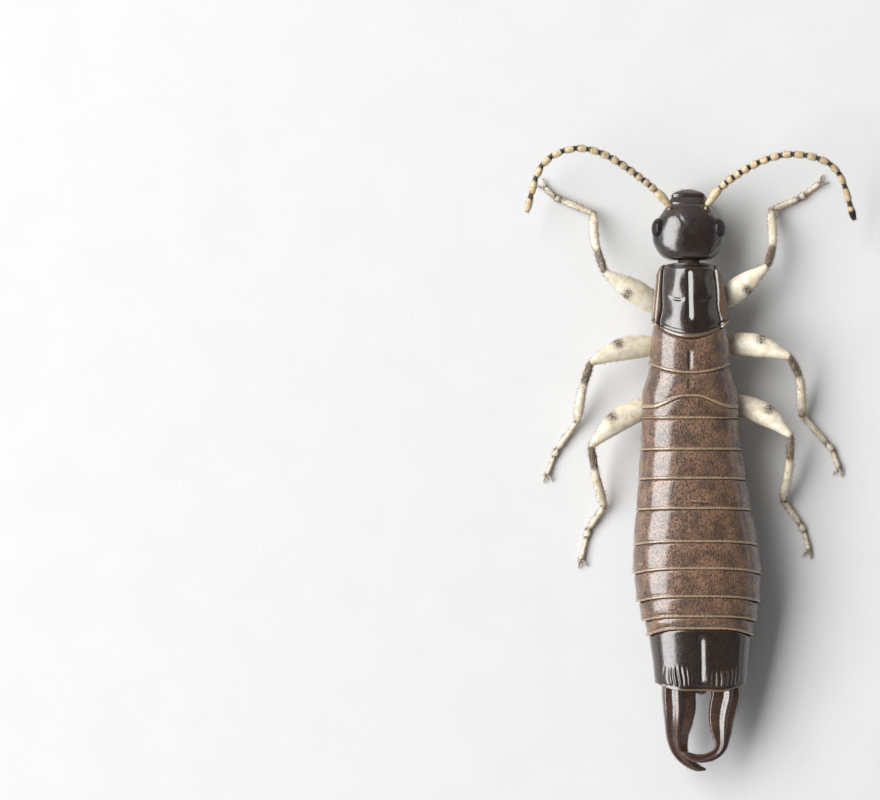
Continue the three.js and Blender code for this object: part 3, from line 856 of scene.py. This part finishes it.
def belly_plate(piece, front, back):
    """A plate under one ring of the abdomen, between two joints."""
    angle = section_angles(-math.pi + BELLY_LOW, -BELLY_LOW, 80)
    length = front[0] - back[0]
    hidden = [-0.25 / length]
    along = np.concatenate([hidden, np.linspace(-0.1 / length, 0.9, 18), rounded(6, 0.93, 1.0)])[:, None]
    start, end = front[0] + front[1], back[0] + back[1]
    rim = smooth((along - (1 - 0.14 / length)) / (0.05 / length))
    lift = 0.1 * smooth((along * length + 0.05) / (0.4 * length)) + 0.015 * rim - BELLY_SUNK
    piece.plate(body_points(start + (end - start) * along, angle, lift), PLATE, 0.55 * rim)


def breast_plate(piece, front, back, free):
    """A plate between the hips, with a low keel."""
    angle = np.linspace(-math.pi + free, -free, 60)[None, :]
    along = rounded(24)[:, None]
    shape = np.cos(angle) ** 2
    y = front - 0.5 * shape + (back - front + 0.8 * shape) * along
    lift = 0.03 * bell(np.cos(angle), 0, 0.05) - 0.04 - 0.05 * bell(along, 0, 0.06)
    piece.plate(body_points(y, angle, lift), PLATE, 0.3)


def build_bellies():
    """Belly plates under the thorax and the abdomen."""
    piece = Piece("belly_plates")
    for i in range(3, len(JOINTS) - 1):
        belly_plate(piece, JOINTS[i], JOINTS[i + 1])
    for breast in BREASTS:
        breast_plate(piece, *breast)
    piece.build("back")


BODY_START, BODY_END = 9.7, -11.4
PLEAT = 0.28
NECK = [(-0.08, 10.9, 2.2), (-0.07, 10.2, 2.15), (-0.05, 9.4, 2.2)]
NECK_SIZES = [0.75, 0.56, 0.6, 0.9], [0.6, 0.5, 0.52, 0.7]


def build_soft_body():
    """The soft skin under the plates, and the neck."""
    piece = Piece("soft_body")
    y = np.linspace(BODY_START, BODY_END, 150)[:, None]
    angle = around(72, -math.pi)
    pleat = 0.02 * np.sin(2 * math.pi * y / PLEAT) * np.abs(np.cos(angle)) ** 4
    inset = pleat - 0.26 - 0.1 * onset(y, 8, 2)
    piece.tube(body_points(y, angle, inset))
    shares = np.linspace(0, 1, 30)
    folds = 0.02 * np.sin(shares * 40)
    neck = limb_grid(NECK, shares, NECK_SIZES, 28)
    centre = neck.mean(1, keepdims=True)
    piece.tube(centre + (neck - centre) * (1 + folds)[:, None, None])
    piece.build("neck", "neck")


# Head

SOCKET = {"x": 0.93, "y": 12.98, "z": 2.32}
SOCKET_RADII = [0.2, 0.31, 0.3, 0.16]
EYE_RING_REACH = 1.25


def head_grid(stations, rows, sides, fullness, detail):
    """The head's or the lip's surface through its stations, with a detail that lifts the skin."""
    rising = stations[::-1]
    y = through([0, 1], [stations[0, 0], stations[-1, 0]], rounded(rows))[:, None]
    half, top, under = (through(rising[:, 0], rising[:, i], y) for i in (1, 2, 3))
    angle = around(sides, -math.pi)
    side = np.clip(HEAD_SIDE_LINE, under + 0.1, top - 0.1)
    return section_grid(y, angle, (half, top, under, side), detail(y, angle), fullness)


def head_detail(y, angle):
    """A faint forked seam over the crown, dents at the feelers, and a brow over each eye."""
    s = np.cos(angle)
    above = smooth(np.sin(angle) / 0.3)
    stem = bell(s, 0, 0.025) * fade(y, 11.9, 0.15)
    fork = sum(bell(s, side * 0.42 * (y - 11.85), 0.03) for side in (-1, 1)) * onset(y, 11.8, 0.1)
    seam = -0.022 * above * (stem + fork * fade(y, 12.8, 0.3))
    dent = -0.08 * bell(y, 12.95, 0.22) * bell(np.abs(s), 0.72, 0.16) * above
    brow = 0.09 * bell(y, EYE["y"] - 0.15, 0.62) * bell(np.abs(s), 0.96, 0.1)
    face = -0.03 * above * bell(y, 13.2, 0.06)
    return seam + dent + brow + face


def lip_detail(y, angle):
    return 0.012 * np.sin(angle * 2) * bell(y, 13.6, 0.1)


def build_head():
    """The head with a dark ring round each eye and the feelers' sockets, and the upper lip."""
    piece = Piece("head_capsule")
    grid = head_grid(HEAD, 90, 110, 0.97, head_detail)
    x, y, z = grid[..., 0], grid[..., 1], grid[..., 2]
    reach = np.hypot((y - EYE["y"]) / (EYE["long"] + 0.08), (z - EYE["z"]) / (EYE["high"] + 0.06))
    outer = smooth((np.abs(x - midline(y)) - 1.05) / 0.2)
    piece.tube(grid, -0.95 * outer * fade(reach, EYE_RING_REACH, 0.2))
    for side in (-1, 1):
        centre = centre_of(SOCKET, side)
        line = [centre - [side * 0.05, 0.1, 0.04], centre + [side * 0.09, 0.1, 0.05]]
        piece.tube(limb_grid(line, np.array([0, 0.1, 0.9, 1.0]), SOCKET_RADII, 28), 0.35)
    piece.build("shield", "head")
    lip = Piece("lip_upper")
    lip.tube(head_grid(LIP, 34, 60, 0.9, lip_detail))
    lip.build("shield", "upper_lip")


def build_eyes():
    polar = np.linspace(0.02, math.pi - 0.02, 40)[:, None]
    turn = around(56)
    ball = grid_of(np.sin(polar) * np.cos(turn), np.cos(polar), np.sin(polar) * np.sin(turn))
    size = np.array([EYE["wide"], EYE["long"], EYE["high"]])
    for name, side in SIDES.items():
        piece = Piece(f"eye_ball_{name}")
        piece.tube(centre_of(EYE, side) + ball * size)
        piece.build("eye", f"eye_{name}")


# Mouth, with the lines of its right-hand parts.

JAW = [(0.66, 12.6, 1.2), (0.74, 13.1, 1.2), (0.56, 13.55, 1.22), (0.2, 13.8, 1.26)]
JAW_SIZES = [0.26, 0.36, 0.33, 0.22, 0.04], [0.24, 0.3, 0.28, 0.2, 0.05]
TEETH = ((0.72, 0.33), (0.86, 0.3))
TOOTH_RADII = [0.11, 0.08, 0.01]
UPPER_PALP = [(0.88, 12.2, 1.08), (1.0, 12.48, 0.86), (1.05, 12.8, 0.68), (0.98, 13.14, 0.56),
              (0.8, 13.42, 0.5), (0.56, 13.66, 0.5)]
LOWER_PALP = [(0.22, 12.9, 0.72), (0.4, 13.12, 0.6), (0.46, 13.36, 0.56), (0.34, 13.6, 0.56)]
LOWER_LIP = [(0, 11.9, 0.98), (0, 12.5, 0.86), (0, 13.0, 0.8), (0, 13.3, 0.82)]
LOWER_LOBE = [(0.12, 13.1, 0.8), (0.16, 13.52, 0.86)]
INNER_JAW = [(0.8, 12.0, 1.0), (0.72, 12.6, 0.9), (0.5, 13.3, 0.96)]
LIP_SIZES = [0.3, 0.5, 0.46, 0.3, 0.12], [0.16, 0.24, 0.24, 0.18, 0.08]
LOBE_SIZES = [0.1, 0.14, 0.04], [0.08, 0.1, 0.03]
INNER_JAW_SIZES = [0.2, 0.3, 0.2, 0.06], [0.2, 0.22, 0.16, 0.05]


def build_jaw(name, side):
    jaw = Piece(f"jaw_{name}")
    line = mirrored(JAW, side)
    add_limb(jaw, line, JAW_SIZES, lambda t, angle: 0.4 * t, 34, 26)
    for share, length in TEETH:
        root = curve_through(line, [share])[0]
        tip = root + [-side * length, -0.02, 0]
        add_limb(jaw, [root, tip], TOOTH_RADII, 0.6, 8, 14)
    jaw.build("mouth", f"mandible_{name}")


def build_palps(name, side):
    palp = Piece(f"mouth_feeler_{name}")
    upper, lower = mirrored(UPPER_PALP, side), mirrored(LOWER_PALP, side)
    for k, (a, b) in enumerate(zip(upper, upper[1:])):
        add_bead(palp, a, b, 0.15 + 0.01 * k, 0.25)
    for a, b in zip(lower, lower[1:]):
        add_bead(palp, a, b, 0.12, 0.2)
    palp.build("feeler", f"palp_{name}")


def build_mouth():
    """Jaws with teeth, upper feelers of the mouth, small lower ones, and the lower lip."""
    for name, side in SIDES.items():
        build_jaw(name, side)
        build_palps(name, side)
    lip = Piece("lip_lower")
    add_limb(lip, LOWER_LIP, LIP_SIZES, rows=30, sides=30)
    for side in SIDES.values():
        add_limb(lip, mirrored(LOWER_LOBE, side), LOBE_SIZES, rows=14, sides=16)
        add_limb(lip, mirrored(INNER_JAW, side), INNER_JAW_SIZES, rows=20, sides=18)
    lip.build("mouth", "lower_lip")


# Feelers

BEAD_STATIONS = [0, 0.1, 0.34, 0.58, 0.84, 1.0]
FIRST_RADII = [0.12, 0.17, 0.2, 0.23, 0.22, 0.14]
DARK_FROM = 0.74
WAIST, LAST_WAIST = 0.52, 0.6
LAST_DARK_FROM = {"left": 0.86, "right": 0.34}
TAPER = 0.14


def add_bead(piece, start, end, radius, dark, waist=LAST_WAIST, dark_from=DARK_FROM):
    """One joint of a feeler: narrow at its base, widest past its middle, with dark ends."""
    overlap = (end - start) * 0.04
    shares = rounded(16)
    radii = radius * np.array([waist * 0.8, waist * 1.2, 0.94, 1.02, 0.88, waist * 0.9])
    grid = limb_grid([start - overlap, end + overlap], shares, radii, 20, BEAD_STATIONS)
    ends = np.clip(fade(shares, 0.3, 0.18) + onset(shares, dark_from, 0.18), 0, 1)
    piece.tube(grid, (dark * ends)[:, None])


def feeler_stops():
    """Shares of the feeler's length where its joints lie: the beads grow longer towards the tip."""
    lengths = np.append(np.linspace(8.5, 13.5, FEELER_PIECES - 4), [19, 17])
    start = FEELER_BASE_SHARE + FEELER_SECOND_SHARE
    beads = np.concatenate([[0], np.cumsum(lengths)]) / lengths.sum()
    return np.concatenate([[0, FEELER_BASE_SHARE], start + (1 - start) * beads])


def build_feeler(name, points):
    """A long first joint, then beads, the last of them darker at its tip."""
    piece = Piece(f"feeler_{name}")
    shares = rounded(26)
    line = curve_through(points, shares * FEELER_BASE_SHARE)
    tone = 0.25 * fade(shares, 0.2, 0.2) + 0.5 * onset(shares, 0.9, 0.1)
    piece.tube(limb_grid(line, shares, FIRST_RADII, 24), tone[:, None])
    knots = curve_through(points, feeler_stops())[1:]
    for k, (a, b) in enumerate(zip(knots, knots[1:]), start=1):
        radius = FEELER_RADIUS * (1 - TAPER * k / (len(knots) + 1))
        last = k == len(knots) - 1
        ends = (LAST_WAIST, LAST_DARK_FROM[name]) if last else (WAIST, DARK_FROM)
        add_bead(piece, a, b, radius, 1.0 if k > 1 else 0.8, *ends)
    piece.build("feeler", f"antenna_{name}")


# Legs: half-widths and half-heights along each of their pieces.

HIP_SIZES = [0.3, 0.42, 0.44, 0.36, 0.24], [0.3, 0.4, 0.4, 0.34, 0.24]
THIGH_SIZES = [0.3, 0.5, 0.6, 0.61, 0.52, 0.34, 0.16], [0.28, 0.37, 0.42, 0.41, 0.37, 0.27, 0.14]
SHIN_SIZES = [0.12, 0.21, 0.2, 0.21, 0.23, 0.23, 0.12], [0.12, 0.22, 0.2, 0.21, 0.22, 0.21, 0.12]
FOOT_RADII = ([0.09, 0.13, 0.14, 0.15, 0.09], [0.08, 0.13, 0.16, 0.15, 0.08], [0.06, 0.09, 0.1, 0.12, 0.08])
FOOT_TONES = (0.12, 0.35, 0.12)
HIP_ROOT_Z, FOOT_DROP = 0.98, 0.08

# Claws: their radii, their turn from the foot's line, the hind pairs' swing inward, and their length.
CLAW_RADII = [0.075, 0.06, 0.045, 0.012]
CLAW_SPREAD, CLAW_SWING = 0.75, 0.55
CLAW_LENGTH, FRONT_CLAW_LENGTH = 0.4, 0.44


def hip_tone(t, angle):
    return 0.25 * onset(t, 0.7, 0.3)


def shin_tone(t, angle):
    """A dark ring below the knee."""
    return np.clip(0.95 * fade(t, 0.43, 0.14) + 0.5 * onset(t, 0.95, 0.05), 0, 1)


def add_claw(piece, root, heading, turn, reach):
    """A thin claw that curves out and down."""
    angle = heading + turn
    out = np.array([math.cos(angle), math.sin(angle), 0]) * reach
    ahead = np.array([math.cos(heading), math.sin(heading), 0]) * reach
    line = [root, root + out * 0.45 + [0, 0, 0.03], root + out * 0.75 + ahead * 0.2,
            root + out * 0.85 + ahead * 0.42 - [0, 0, 0.1]]
    add_limb(piece, line, CLAW_RADII, 0.7, 16, 12)


def add_foot(piece, stops, heading, reach):
    """The three foot pieces and two claws."""
    for a, b, radii, pale in zip(stops, stops[1:], FOOT_RADII, FOOT_TONES):
        overlap = (b - a) * 0.04

        def tone(t, angle, pale=pale):
            return np.clip(0.55 * onset(t, 0.82, 0.12) + pale, 0, 1)

        add_limb(piece, [a - overlap, b + overlap], radii, tone, 24, 20)
    for turn in (-CLAW_SPREAD, CLAW_SPREAD):
        add_claw(piece, stops[-1], heading, turn, reach)


def build_leg(name, plan):
    piece = Piece(f"leg_{name}_limb")
    side = SIDES[name.split("_")[1]]
    in_front = name.startswith("front")
    points = np.column_stack([plan, LEG_HEIGHTS])
    hip, ankle, feet = points[0], points[4], points[5:]
    root = hip * [0.5, 1, 0] + [0, 0, HIP_ROOT_Z]
    add_limb(piece, [root, hip * [1.12, 1, 1]], HIP_SIZES, hip_tone)
    facing = side if in_front else -side

    def thigh_tone(t, angle):
        """Two smudges on the edge that faces the middle leg, and darker ends."""
        edge = smooth((facing * np.cos(angle) + 0.25) / 0.7)
        patch = bell(t, 0.6, 0.08) * edge + 0.35 * bell(t, 0.83, 0.08) * edge
        return np.clip(0.9 * patch + 0.3 * onset(t, 0.93, 0.06) + 0.25 * fade(t, 0.12, 0.1), 0, 1)

    add_limb(piece, points[:3], THIGH_SIZES, thigh_tone, 60, 32)
    add_limb(piece, points[2:5], SHIN_SIZES, shin_tone, 60)
    stops = [ankle - [0, 0, FOOT_DROP], *feet]
    heading = math.atan2(*(feet[-1] - feet[-2])[1::-1]) - (0 if in_front else side * CLAW_SWING)
    add_foot(piece, stops, heading, FRONT_CLAW_LENGTH if in_front else CLAW_LENGTH)
    piece.build("leg", f"leg_{name}")


# Pincers

PINCER_CRESTS = {"left": 0.0, "right": 0.3}
PINCER_ROWS, PINCER_SIDES = 130, 120
TOOTH_SIZE, TOOTH_COUNT = 0.014, 22


def ridge(t, crest):
    """A branch's upper outline across its width, with a crest that is gentle on its left flank."""
    base = through([0, 0.8, 0.93, 1.0], [0.76, 0.7, 0.5, 0.0], np.abs(t))
    return base + 0.24 * smooth((t - crest + 0.46) / 0.42) * smooth((crest + 0.2 - t) / 0.17)


def build_pincer(name, stations):
    """One branch: ridged above, round at its tip, with small teeth along its inner edge."""
    data = np.array(stations)
    shares = rounded(PINCER_ROWS)
    centre = curve_through(data[:, :3], shares)
    spans = np.linalg.norm(np.diff(data[:, :3], axis=0), axis=1)
    lengths = np.concatenate([[0], np.cumsum(spans)]) / spans.sum()
    wide, high = (through(lengths, data[:, i], shares)[:, None] for i in (3, 4))
    across, rise = across_and_up(centre)
    angle = around(PINCER_SIDES)
    s, up = np.cos(angle), np.sin(angle)
    blunt = fade(shares, 0.98, 0.3)[:, None]
    crest = PINCER_CRESTS[name]
    upper = blunt * ridge(-s, crest) + (1 - blunt) * np.abs(up)
    height = high * np.where(up > 0, upper, -0.8 * np.abs(up))
    teeth = TOOTH_SIZE * np.clip(np.sin(2 * math.pi * shares * TOOTH_COUNT), 0, 1)
    teeth = (teeth * onset(shares, 0.14, 0.06) * fade(shares, 0.5, 0.08))[:, None]
    inner = np.where(s * SIDES[name] > 0.9, np.sign(s), 0)
    width = wide * s + inner * teeth
    # Painted highlight on the left flank of the crest and painted shade on its steep right flank, on the
    # upper side only.
    tone = (0.3 * bell(-s, crest - 0.1, 0.14) - 0.6 * bell(-s, crest + 0.12, 0.07)) * (up > 0) * blunt
    piece = Piece(f"pincer_{name}_branch")
    grid = centre[:, None] + across[:, None] * width[..., None] + rise[:, None] * height[..., None]
    piece.tube(grid, np.clip(tone, -1, 1))
    piece.build("pincer", f"pincer_{name}")


def build_tail_knob():
    """The small plate between the roots of the pincers."""
    piece = Piece("tail_knob")
    x = midline(-11.9)
    line = [(x, -11.2, 1.95), (x, -11.75, 1.9), (x, -12.0, 1.8)]
    add_limb(piece, line, ([0.5, 0.48, 0.4, 0.22], [0.5, 0.46, 0.36, 0.2]))
    piece.build("pincer")


# Bristles

HAIR_SIDES = 3
HAIR_LENGTHS = (0.6, 1.15)
HAIR_WANDER = 0.22
HAIR_BEND = 0.55
HAIR_WAIST = 0.62
UV_TILES = 8
UV_PATCH = 0.003


class Coat:
    """Bristles joined in one mesh, each with its own small patch of the unwrapped skin."""

    def __init__(self, name):
        self.name = name
        self.points, self.uvs = [], []

    def grow(self, skin, count, length, radius, stand, keep=None):
        """Sets bristles on a skin, thinned by keep, without those that would reach under the floor."""
        tile = len(self.uvs)
        u, v = rng.random(count), rng.random(count)
        if keep is not None:
            chosen = rng.random(count) < keep(u, v)
            u, v = u[chosen], v[chosen]
        root, normal, lie = skin.sample(u, v)
        reach = length * rng.uniform(*HAIR_LENGTHS, (len(u), 1))
        wander = rng.normal(0, HAIR_WANDER, (len(u), 3))
        start = unit(normal * stand + lie * (1 - stand) + wander * 0.5)
        later = unit(normal * stand * 0.6 + lie * (1.2 - stand) + wander)
        side = unit(np.cross(start, normal + 1e-3))
        other = np.cross(start, side)
        middle = root + start * reach * HAIR_BEND
        rings = []
        for centre, thick in ((root - normal * radius * 2, radius), (middle, radius * HAIR_WAIST)):
            for turn in around(HAIR_SIDES)[0]:
                rings.append(centre + (side * math.cos(turn) + other * math.sin(turn)) * thick)
        rings.append(middle + later * reach * (1 - HAIR_BEND))
        hairs = np.stack(rings, axis=1)
        clear = hairs[..., 2].min(axis=1) > 0
        places = np.stack([tile % UV_TILES + 0.05 + 0.9 * u, tile // UV_TILES + 0.05 + 0.9 * v], axis=-1)
        self.points.append(hairs[clear])
        self.uvs.append(places[clear] / UV_TILES)

    def build(self, material, slot):
        points = np.concatenate(self.points)
        each = points.shape[1]
        n = HAIR_SIDES
        pattern = [tuple(range(n))[::-1]]
        for i in range(n):
            k = (i + 1) % n
            pattern.append((i, k, n + k, n + i))
            pattern.append((n + i, n + k, 2 * n))
        faces = [tuple(v + each * h for v in face) for h in range(len(points)) for face in pattern]
        mesh = bpy.data.meshes.new(self.name)
        mesh.from_pydata((points.reshape(-1, 3) * MM).tolist(), [], faces)
        corners = np.zeros(len(mesh.loops), dtype=np.int32)
        mesh.loops.foreach_get("vertex_index", corners)
        patch = np.array([(0, 0), (1, 0), (0.5, 1)] * 2 + [(0.5, 0.5)]) * UV_PATCH
        flat = (np.concatenate(self.uvs)[:, None] + patch[None]).reshape(-1, 2)
        layer = mesh.uv_layers.new(name="OFBake")
        layer.data.foreach_set("uv", flat[corners].astype(np.float32).ravel())
        place_piece(self.name, mesh, material, slot)


# Bristles on the pieces of a leg, from the thigh to the foot's last piece: their number and length.
LEG_HAIRS = {1: (260, 0.16), 2: (420, 0.2), 3: (240, 0.2), 4: (70, 0.2), 5: (130, 0.2)}
FEELER_HAIRS = (("feeler", 60, 0.13), ("mouth_feeler", 26, 0.12))


def near_sides(u, v):
    return smooth((np.abs(v - 0.5) - 0.36) / 0.08) * onset(u, 0.3, 0.2)


def along_branch(u, v):
    return (u > 0.1) & (u < 0.82)


def build_bristles():
    legs = Coat("bristles_legs")
    for name in LEGS:
        for k, (count, length) in LEG_HAIRS.items():
            legs.grow(skins[f"leg_{name}_limb"][k], count, length, 0.008, 0.5)
    legs.build(PALE_HAIR, "leg")
    feelers = Coat("bristles_feelers")
    for kind, count, length in FEELER_HAIRS:
        for side in SIDES:
            for skin in skins[f"{kind}_{side}"]:
                feelers.grow(skin, count, length, 0.006, 0.5)
    feelers.build(PALE_HAIR, "feeler")
    body = Coat("bristles_body")
    for name in BACKS:
        body.grow(skins[f"back_{name}"][0], 240, 0.15, 0.007, 0.35, near_sides)
    for skin in skins["belly_plates"]:
        body.grow(skin, 260, 0.2, 0.008, 0.35)
    for name in PINCERS:
        body.grow(skins[f"pincer_{name}_branch"][0], 220, 0.14, 0.006, 0.5, along_branch)
    body.grow(skins["lip_upper"][0], 60, 0.2, 0.008, 0.5)
    body.build(DARK_HAIR, "back")


# Stage, in metres except where it says otherwise.

# The photo's width and height in pixels, the pixel over the origin, and the millimetres to a pixel.
PHOTO_SIZE = (880, 800)
ORIGIN_PIXEL = (690, 460.5)
PHOTO_MM = 0.0515
RIGHT, UP = PHOTO_SIZE[0] / 2 - ORIGIN_PIXEL[0], ORIGIN_PIXEL[1] - PHOTO_SIZE[1] / 2
VIEW_CENTRE = (RIGHT * PHOTO_MM, UP * PHOTO_MM)
VIEW_WIDTH = PHOTO_SIZE[0] * PHOTO_MM
VIEW_LEVEL = 2.2
LENS = 300.0
SENSOR = 36.0

FLOOR_SIZE = 3.0
LIGHTS = {
    "key": {"place": (-0.287, 0.07, 0.293), "size": (0.62, 0.3), "watts": 3.9},
    "rim": {"place": (0.42, 0.0, 0.09), "size": (0.5, 0.12), "watts": 0.1},
}

# How bright the walls are along two axes of the view's direction: from, to, and the share at each.
WALLS = (("Z", 0.55, 0.97, 0.5, 0.12), ("X", 0.0, 0.8, 1.0, 0.3))


def build_camera():
    """Straight above the animal, with the photo's framing."""
    data = bpy.data.cameras.new("camera")
    data.lens = LENS
    data.sensor_width = SENSOR
    data.clip_start, data.clip_end = 0.01, 5.0
    camera = link_object("camera", data)
    camera.location = Vector((*VIEW_CENTRE, VIEW_LEVEL + VIEW_WIDTH * LENS / SENSOR)) * MM
    bpy.context.scene.camera = camera


def build_light(name, place, size, watts):
    """A rectangular lamp that faces the origin."""
    data = bpy.data.lights.new(name, "AREA")
    data.shape = "RECTANGLE"
    data.size, data.size_y = size
    data.energy = watts
    lamp = link_object(name, data)
    lamp.location = place
    lamp.rotation_euler = (-Vector(place)).to_track_quat("-Z", "Y").to_euler()


def build_stage():
    mesh = bpy.data.meshes.new("floor")
    corners = [(x * FLOOR_SIZE, y * FLOOR_SIZE, 0) for x, y in ((-1, -1), (1, -1), (1, 1), (-1, 1))]
    mesh.from_pydata(corners, [], [(0, 1, 2, 3)])
    mesh.materials.append(floor_material())
    floor = link_object("floor", mesh)
    for name, light in LIGHTS.items():
        build_light(name, **light)
    build_world()
    bpy.context.scene.view_settings.view_transform = "Standard"


def build_world():
    """Plain white walls round the table, dim straight above it and on the animal's right."""
    world = bpy.data.worlds.new("studio")
    world.use_nodes = True
    tree = world.node_tree
    new, link = tree.nodes.new, tree.links.new
    background = tree.nodes["Background"]
    background.inputs["Color"].default_value = (1, 1, 1, 1)
    where = new("ShaderNodeTexCoord")
    parts = new("ShaderNodeSeparateXYZ")
    link(where.outputs["Generated"], parts.inputs[0])
    product = new("ShaderNodeMath")
    product.operation = "MULTIPLY"
    for i, (axis, *numbers) in enumerate(WALLS):
        span = new("ShaderNodeMapRange")
        link(parts.outputs[axis], span.inputs["Value"])
        link(span.outputs["Result"], product.inputs[i])
        set_range(span, *numbers)
    link(product.outputs[0], background.inputs["Strength"])
    bpy.context.scene.world = world


build_camera()
build_stage()
build_soft_body()
build_shield()
build_backs()
build_bellies()
build_head()
build_eyes()
build_mouth()
for build, parts in ((build_feeler, FEELERS), (build_leg, LEGS), (build_pincer, PINCERS)):
    for part_name, plan in parts.items():
        build(part_name, plan)
build_tail_knob()
build_bristles()
